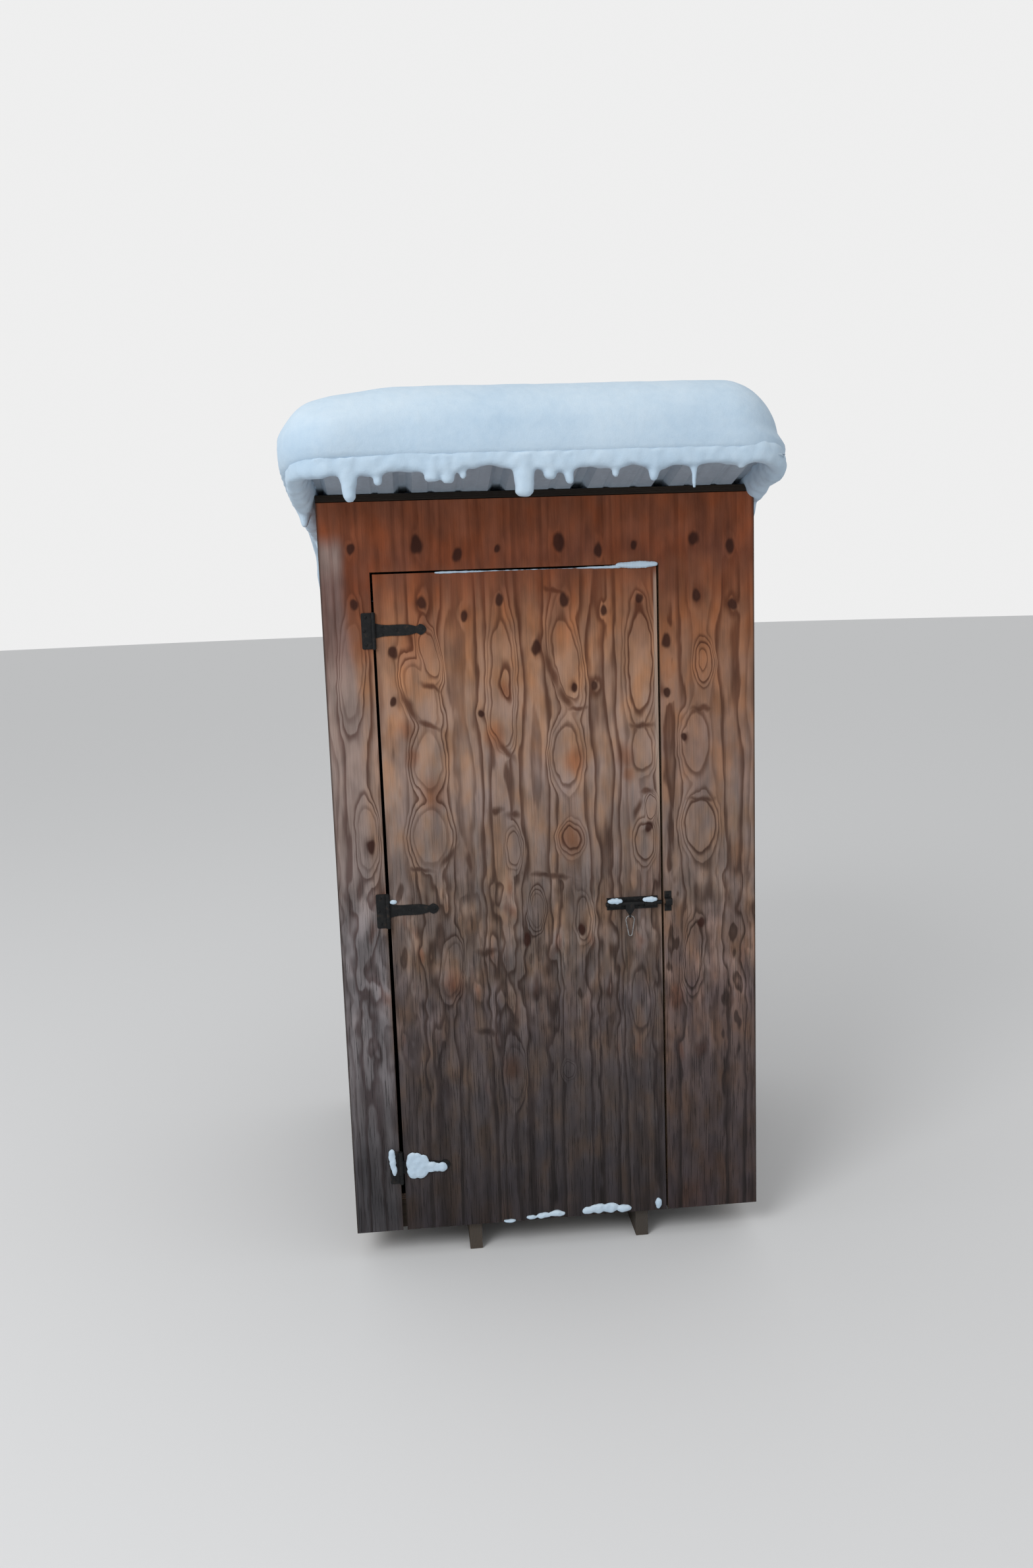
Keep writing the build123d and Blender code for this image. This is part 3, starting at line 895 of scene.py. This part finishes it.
# its lower edge along the front: place along it and level
front_edge = (
    (-0.650, 2.276), (-0.610, 2.268), (-0.579, 2.262), (-0.545, 2.268), (-0.509, 2.258),
    (-0.470, 2.266), (-0.435, 2.262), (-0.400, 2.276), (-0.340, 2.274), (-0.298, 2.262),
    (-0.255, 2.264), (-0.200, 2.278), (-0.150, 2.286), (-0.110, 2.276), (-0.064, 2.262),
    (-0.030, 2.272), (0.003, 2.264), (0.046, 2.262), (0.090, 2.276), (0.130, 2.272),
    (0.171, 2.266), (0.215, 2.277), (0.278, 2.262), (0.330, 2.274), (0.375, 2.270),
    (0.420, 2.277), (0.470, 2.273), (0.499, 2.268), (0.540, 2.276), (0.600, 2.280),
)
# drips under it: place along it, foot, half width at the root and at the tip, lean
front_drips = (
    (-0.579, 2.262, 0.018, 0.010, 0.0),
    (-0.509, 2.202, 0.036, 0.013, 0.004),
    (-0.435, 2.242, 0.020, 0.009, 0.002),
    (-0.296, 2.248, 0.028, 0.020, 0.0),
    (-0.258, 2.244, 0.026, 0.016, 0.0),
    (-0.219, 2.252, 0.014, 0.008, 0.0),
    (-0.064, 2.205, 0.034, 0.023, 0.0),
    (0.003, 2.247, 0.026, 0.016, 0.0),
    (0.046, 2.234, 0.022, 0.011, 0.006),
    (0.171, 2.249, 0.016, 0.008, 0.0),
    (0.278, 2.236, 0.038, 0.009, -0.010),
    (0.375, 2.217, 0.016, 0.005, 0.0),
    (0.499, 2.262, 0.020, 0.010, 0.0),
)
random.seed(3)
lip = snow_low.y + 0.033
back_lip = snow_high.y - 0.034
left_lip, right_lip = -0.6490, 0.6220
# the level of the roll's middle at the front, and how far it rises above and hangs below
front_level, roll_rise, roll_hang = 2.300, 0.042, 0.036
fall = math.tan(slope)
line = eave_line(left_lip, right_lip, lip, back_lip, radius=0.100, spacing=0.010)
rings = []
rounds = 18
fringe = bmesh.new()
for place, outward in line:
    x, y = place.x, place.y
    level = front_level - (y - lip) * fall
    top = level + roll_rise + 0.006 * noise.noise(Vector((x * 7, y * 7, 3)))
    ragged = 0.010 * noise.noise(place * 8) + 0.004 * noise.noise(place * 29)
    to_front = max(-outward.y, 0) ** 2
    foot = level - roll_hang + ragged
    foot += to_front * (along(x, front_edge) - foot)
    depth = 0.029 - 0.003 * to_front + 0.002 * noise.noise(place * 11)
    middle = Vector((x, y, (foot + top) / 2))
    middle.x -= outward.x * waist(x, y)
    ring = []
    for turn in range(rounds):
        angle = 2 * math.pi * turn / rounds
        offset = outward * math.copysign(abs(math.cos(angle)) ** 0.6 * depth, math.cos(angle))
        offset -= outward * 0.008 * (1 + math.sin(angle))
        offset.z = math.sin(angle) * (top - foot) / 2
        ring.append(fringe.verts.new(middle + offset))
    rings.append(ring)
for near, far in zip(rings, rings[1:] + rings[:1]):
    for turn in range(rounds):
        after = (turn + 1) % rounds
        fringe.faces.new((near[turn], far[turn], far[after], near[after]))
for place, foot, root, tip, lean in front_drips:
    drip(fringe, place, lip, foot, 2.310 - foot, root, tip, lean)
for number in range(11):
    x = -0.55 + 0.108 * number + random.uniform(-0.035, 0.035)
    level = front_level - (back_lip - lip) * fall
    foot = level - random.uniform(0.048, 0.088)
    drip(fringe, x, back_lip, foot, level - foot, random.uniform(0.014, 0.030), 0.008, 0.0)
for x in (left_lip, right_lip):
    for number in range(6):
        y = -0.62 + 0.26 * number + random.uniform(-0.08, 0.08)
        level = 2.292 - (y - lip) * fall
        foot = level - random.uniform(0.050, 0.075)
        reach = x - math.copysign(waist(x, y), x)
        drip(fringe, reach, y, foot, level - foot, random.uniform(0.014, 0.026), 0.008, 0.0)
bmesh.ops.recalc_face_normals(fringe, faces=fringe.faces)
crumpled_snow("eave_fringe_snow", "cabin", fringe, 0.0046, 0.0032, 0.026, 3)


# The door's fittings, pressed from steel with a black coat: three tee hinges, whose plates
# are screwed to the wall and whose straps are screwed to the door, and a slide bolt that is
# screwed to the door, with its keeper on the wall.
iron = Finish("black_iron")
x, y, z = iron.place()
spot = iron.vector(x, y, z)
pebble = iron.noise(spot, 0.9, 2)
scuff = iron.noise(spot, 14, 4, 0.6)
iron_colour = iron.ramp(
    scuff,
    (0.42, (0.0050, 0.0055, 0.0062)),
    (0.60, (0.0100, 0.0105, 0.0110)),
    (0.74, (0.0330, 0.0220, 0.0160)),
)
iron_finish = iron.surface(
    Base_Color=iron_colour,
    Metallic=0.1,
    Roughness=0.46 + scuff * 0.22,
    Specular_IOR_Level=0.22,
    Normal=iron.bump(pebble, 0.00012),
)
hinge_places = ("top", "middle", "bottom")
for place in hinge_places:
    dress(iron_finish, f"hinge_plate_{place}", f"hinge_strap_{place}")
dress(iron_finish, "bolt_base", "bolt_keeper", "slide_bolt")


def screw_head(shape, x, y, z, radius, height):
    """A domed head with a cross recess, standing out of a wall that faces the front."""
    rounds = 20
    loops = []
    for share in (0.0, 0.35, 0.7, 0.92, 1.0):
        ring = radius * (math.sqrt(max(0.0, 1 - share**2)) * 0.62 + 0.38)
        loop = []
        for turn in range(rounds):
            angle = 2 * math.pi * turn / rounds
            across, above = ring * math.cos(angle), ring * math.sin(angle)
            loop.append(shape.verts.new((x + across, y - height * share, z + above)))
        loops.append(loop)
    for low, high in zip(loops, loops[1:]):
        for turn in range(rounds):
            after = (turn + 1) % rounds
            shape.faces.new((low[turn], high[turn], high[after], low[after]))
    shape.faces.new(loops[0])
    arm, half = radius * 0.30, radius * 0.07
    twist, recess = 20, height * 0.6
    cross = []
    for quarter in range(4):
        angle = math.radians(90 * quarter + twist)
        for reach, aside in ((arm, -half), (arm, half), (half, half)):
            across = reach * math.cos(angle) - aside * math.sin(angle)
            above = reach * math.sin(angle) + aside * math.cos(angle)
            cross.append(shape.verts.new((x + across, y - height, z + above)))
    crown = loops[-1]
    rim = [shape.edges.get(pair) for pair in zip(crown, crown[1:] + crown[:1])]
    slot_edges = [shape.edges.new(pair) for pair in zip(cross, cross[1:] + cross[:1])]
    bmesh.ops.triangle_fill(shape, edges=rim + slot_edges, use_beauty=True)
    pit = [shape.verts.new(vertex.co + Vector((0, recess, 0))) for vertex in cross]
    for corner in range(len(cross)):
        after = (corner + 1) % len(cross)
        shape.faces.new((cross[corner], cross[after], pit[after], pit[corner]))
    shape.faces.new(pit)


def fitted(name, shape, material, body):
    """Put a small rigid piece in the scene, riding on a body."""
    bmesh.ops.recalc_face_normals(shape, faces=shape.faces)
    mesh = bpy.data.meshes.new(name)
    shape.to_mesh(mesh)
    shape.free()
    mesh.materials.append(material)
    piece = bpy.data.objects.new(name, mesh)
    scene.collection.objects.link(piece)
    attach(piece, body)


pin_x = -0.4695
leaf_out = 0.0025
wall_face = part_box("front_sheet_left")[0].y
# where screws stand from the pin and from the middle of the hinge
plate_holes = ((-0.021, -0.038), (-0.026, 0.0), (-0.021, 0.038))
strap_holes = ((0.024, 0.012), (0.024, -0.012), (0.064, 0.0), (0.135, 0.0))
for place in hinge_places:
    low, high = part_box(f"hinge_plate_{place}")
    centre = (low.z + high.z) / 2
    for part, holes, body in (("plate", plate_holes, "cabin"), ("strap", strap_holes, "door")):
        heads = bmesh.new()
        for reach, drop in holes:
            screw_head(heads, pin_x + reach, wall_face - leaf_out, centre + drop, 0.0042, 0.0018)
        fitted(f"{part}_screws_{place}", heads, iron_finish, body)

bolt_low, bolt_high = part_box("bolt_base")
middle = (bolt_low.z + bolt_high.z) / 2
bolt_screws = bmesh.new()
for left in (0.056, 0.094):
    for up in (0.011, -0.011):
        screw_head(bolt_screws, bolt_low.x + left, wall_face - 0.002, middle + up, 0.0032, 0.0014)
fitted("bolt_screws", bolt_screws, iron_finish, "door")
keeper_low, keeper_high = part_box("bolt_keeper")
middle = (keeper_low.x + keeper_high.x) / 2
keeper_screws = bmesh.new()
for level in (keeper_low.z + 0.009, keeper_high.z - 0.009):
    screw_head(keeper_screws, middle, wall_face - 0.0025, level, 0.0036, 0.0015)
fitted("keeper_screws", keeper_screws, iron_finish, "cabin")


# The pull loop: zinc-coated wire bent into a long ring, which hangs free in the eye of the
# bolt's handle.  Its coat has dulled.
wire = Finish("wire")
x, y, z = wire.place()
dulled = wire.noise(wire.vector(x, y, z), 6, 3)
wire_colour = wire.ramp(dulled, (0.35, (0.16, 0.16, 0.165)), (0.65, (0.33, 0.33, 0.335)))
dress(
    wire.surface(
        Base_Color=wire_colour,
        Metallic=0.6,
        Roughness=0.36 + dulled * 0.2,
        Normal=wire.bump(dulled, 0.0001),
    ),
    "pull_loop",
)


# Small snow: a frozen line along the door's top edge, crusts on the hinges and on the guides
# of the bolt, and clods stuck to the foot of the door.
def clods(name, body, blobs, voxel, rough, size, seed):
    """Clods given as three lengths for the place and three half sizes, fused to one piece."""
    shape = bmesh.new()
    for x, y, z, wide, deep, tall in blobs:
        lump(shape, Vector((x, y, z)), wide, deep, tall)
    crumpled_snow(name, body, shape, voxel, rough, size, seed)


door_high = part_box("door_panel")[1]
crust_left, crust_right = 0.225, 0.325
ridge = []
reach = crust_left
while reach < crust_right:
    share = (reach - crust_left) / 0.1
    tall = 0.0105 * math.sin(math.pi * (0.12 + 0.76 * share)) ** 0.5
    ridge.append((reach, wall_face - 0.001, door_high.z + 0.004, 0.012, 0.0095, tall))
    reach += 0.008
# left of the crust the line thins out, and thickens again towards its other end
reach = -0.285
while reach < crust_left:
    left_end = easing(reach, -0.10, -0.24) * 0.6
    right_end = easing(reach, 0.06, 0.22)
    thick = 0.0009 + 0.0036 * max(left_end, right_end)
    ridge.append((reach, wall_face + 0.002, door_high.z - 0.0005, 0.011, 0.0035 + thick, thick))
    reach += 0.007
clods("door_top_snow", "door", ridge, 0.0018, 0.0016, 0.014, 3)

hinge_low, hinge_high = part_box("hinge_strap_bottom")
centre = (hinge_low.z + hinge_high.z) / 2
out = wall_face - 0.0035
strap_crust = []
for reach, level, wide, tall in (
    (0.034, 0.012, 0.020, 0.036),
    (0.048, 0.004, 0.024, 0.042),
    (0.066, 0.002, 0.020, 0.036),
    (0.056, -0.018, 0.022, 0.022),
    (0.036, -0.014, 0.020, 0.026),
    (0.088, -0.004, 0.022, 0.018),
    (0.106, -0.006, 0.020, 0.014),
    (0.122, -0.007, 0.016, 0.016),
):
    strap_crust.append((pin_x + reach, out, centre + level, wide, 0.0065, tall))
clods("bottom_strap_snow", "door", strap_crust, 0.002, 0.0022, 0.013, 11)
plate_crust = []
for aside, level, wide, tall in (
    (-0.026, 0.038, 0.011, 0.024),
    (-0.024, 0.016, 0.010, 0.026),
    (-0.020, -0.006, 0.008, 0.020),
):
    plate_crust.append((pin_x + aside, out, centre + level, wide, 0.0055, tall))
clods("bottom_plate_snow", "cabin", plate_crust, 0.0018, 0.0016, 0.012, 17)

middle_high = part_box("hinge_strap_middle")[1]
dab = (pin_x + 0.016, wall_face - 0.004, middle_high.z + 0.003, 0.011, 0.006, 0.007)
clods("middle_hinge_snow", "door", [dab], 0.0014, 0.0012, 0.008, 23)

guide_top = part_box("bolt_base")[1].z
cap_lumps = ((0.10, 0.0065), (0.30, 0.0085), (0.48, 0.0080), (0.66, 0.0095), (0.88, 0.0070))
caps = []
for left, right in ((0.174, 0.204), (0.277, 0.307)):
    for share, tall in cap_lumps:
        spot_x = left + (right - left) * share
        caps.append((spot_x, wall_face - 0.0125, guide_top - 0.008, 0.011, 0.0085, tall))
clods("guide_snow", "door", caps, 0.0015, 0.0014, 0.010, 29)

foot = []
for centre_x, level, wide, tall in (
    (-0.152, 0.093, 0.020, 0.005),
    (-0.085, 0.098, 0.018, 0.007),
    (-0.050, 0.101, 0.024, 0.009),
    (-0.008, 0.104, 0.026, 0.010),
    (0.088, 0.106, 0.020, 0.012),
    (0.118, 0.110, 0.028, 0.016),
    (0.155, 0.109, 0.030, 0.016),
    (0.196, 0.104, 0.026, 0.012),
    (0.304, 0.112, 0.011, 0.018),
):
    foot.append((centre_x, wall_face - 0.002, level, wide, 0.008, tall))
clods("door_foot_snow", "door", foot, 0.0022, 0.0026, 0.013, 37)
